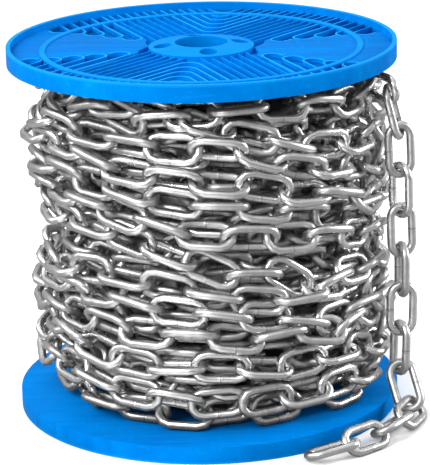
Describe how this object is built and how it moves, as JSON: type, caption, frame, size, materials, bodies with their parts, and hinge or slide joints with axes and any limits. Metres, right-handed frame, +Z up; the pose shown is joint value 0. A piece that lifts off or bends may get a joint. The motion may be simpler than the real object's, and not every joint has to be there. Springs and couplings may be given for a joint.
{
  "type": "reel of steel chain",
  "caption": "Moulded plastic reel wound full of bright long link steel chain, standing on its flange with the end of the chain hanging down to the floor.",
  "frame": {"origin": "on the reel's axis, at floor level", "axes": "+Z up along the reel's axis; the chain's end lies to the +X and -Y side"},
  "size_m": [0.2689, 0.2622, 0.2448],
  "materials": {
    "blue_plastic": "moulded satin",
    "bright_steel": "bright drawn wire"
  },
  "bodies": {
    "root": {"bottom_flange": "blue_plastic", "barrel": "blue_plastic", "top_flange": "blue_plastic", "chain_inner_layers": "bright_steel", "chain_outer_layer": "bright_steel", "tail_link_01": "bright_steel", "tail_link_02": "bright_steel", "tail_link_03": "bright_steel", "tail_link_04": "bright_steel", "tail_link_05": "bright_steel", "tail_link_06": "bright_steel", "tail_link_07": "bright_steel", "tail_link_08": "bright_steel", "tail_link_09": "bright_steel", "tail_link_10": "bright_steel", "tail_link_11": "bright_steel", "tail_link_12": "bright_steel", "tail_link_13": "bright_steel"}
  },
  "joints": []
}
